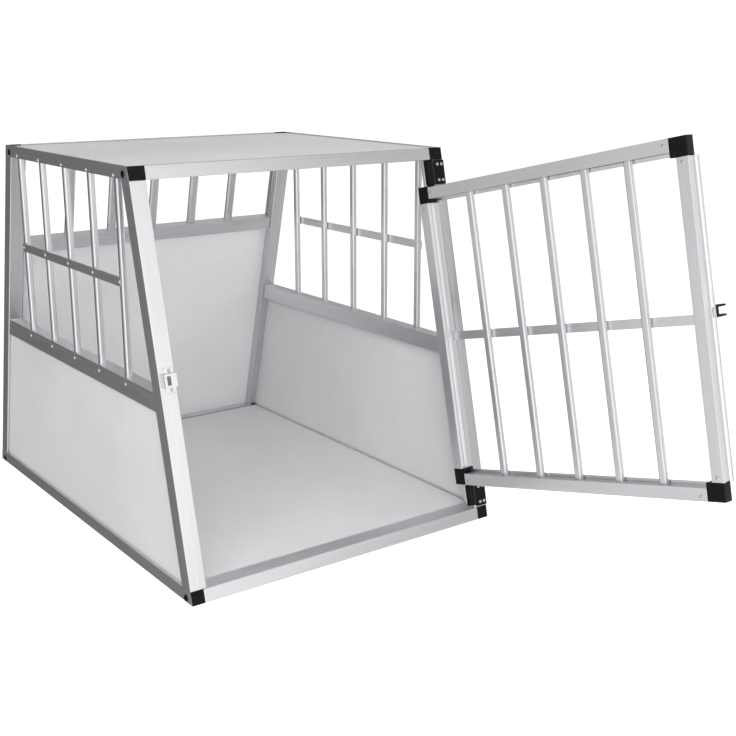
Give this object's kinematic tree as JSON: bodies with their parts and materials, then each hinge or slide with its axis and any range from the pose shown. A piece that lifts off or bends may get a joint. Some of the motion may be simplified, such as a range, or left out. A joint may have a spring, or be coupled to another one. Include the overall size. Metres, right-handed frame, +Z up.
{
  "type": "dog transport crate",
  "caption": "Travel crate for a dog: aluminium profile frame with slanted front and rear, solid lower boards, upright bars above, flat roof and a side-hinged barred door with a sliding latch.",
  "frame": {"origin": "middle of the underside of the front bottom rail, on the floor", "axes": "+Z up, +Y from the front to the rear of the crate, +X to the hinge side, so the door is at -Y"},
  "size_m": [0.701, 1.4502, 0.7615],
  "materials": {
    "profile": "extruded and anodised in natural silver, fine lines along the extrusion, satin",
    "board": "light grey laminate on fibreboard, smooth and low gloss",
    "black_nylon": "moulded black nylon, fine texture, slight sheen",
    "rivets": "bright domed blind rivets",
    "zinc_screws": "zinc plated, low heads",
    "steel": "turned steel",
    "bright_plate": "pressed stainless sheet, fine brushing"
  },
  "bodies": {
    "crate": {"side_rail_bottom_left": "profile", "side_rail_bottom_right": "profile", "side_rail_top_left": "profile", "side_rail_top_right": "profile", "post_front_left": "profile", "post_front_right": "profile", "post_rear_left": "profile", "post_rear_right": "profile", "front_rail_bottom": "profile", "front_rail_top": "profile", "rear_rail_bottom": "profile", "rear_rail_top": "profile", "mid_rail_left": "profile", "mid_rail_right": "profile", "mid_rail_rear": "profile", "floor_board": "board", "roof_board": "board", "side_board_left": "board", "side_board_right": "board", "rear_board": "board", "bars_left": "profile", "bars_right": "profile", "bars_rear": "profile", "strip_left": "profile", "strip_right": "profile", "rivets_left": "rivets", "rivets_right": "rivets", "rivets_rear": "rivets", "end_caps_top": "black_nylon", "end_caps_bottom": "black_nylon", "corner_bolts": "black_nylon", "frame_screws": "zinc_screws", "post_keys": "black_nylon", "rail_keys": "black_nylon", "hinge_block_upper": "black_nylon", "hinge_block_lower": "black_nylon", "hinge_screws": "zinc_screws", "hinge_pins": "steel", "hinge_bushes": "black_nylon", "keeper": "bright_plate", "keeper_screws": "zinc_screws"},
    "door": {"door_rail_top": "profile", "door_rail_bottom": "profile", "door_stile_hinge": "profile", "door_stile_free": "profile", "door_corner_hinge_top": "black_nylon", "door_corner_hinge_bottom": "black_nylon", "door_corner_free_top": "black_nylon", "door_corner_free_bottom": "black_nylon", "door_bars": "profile", "door_strip": "profile", "door_rivets": "rivets", "door_screws": "zinc_screws", "latch_housing": "bright_plate", "latch_screws": "zinc_screws"},
    "latch": {"latch_bolt": "bright_plate", "latch_pull": "black_nylon"}
  },
  "joints": [
    {"name": "door_hinge", "type": "hinge", "parent": "crate", "child": "door", "pos_m": [0.28, 0.05359, 0.35635], "axis": [0, 0.224, 0.9746], "range_deg": [-95.9, 84.1]},
    {"name": "latch_slide", "type": "slide", "parent": "door", "child": "latch", "axis": [0.1028, -0.9694, 0.2228], "range_m": [0, 0.012]}
  ]
}
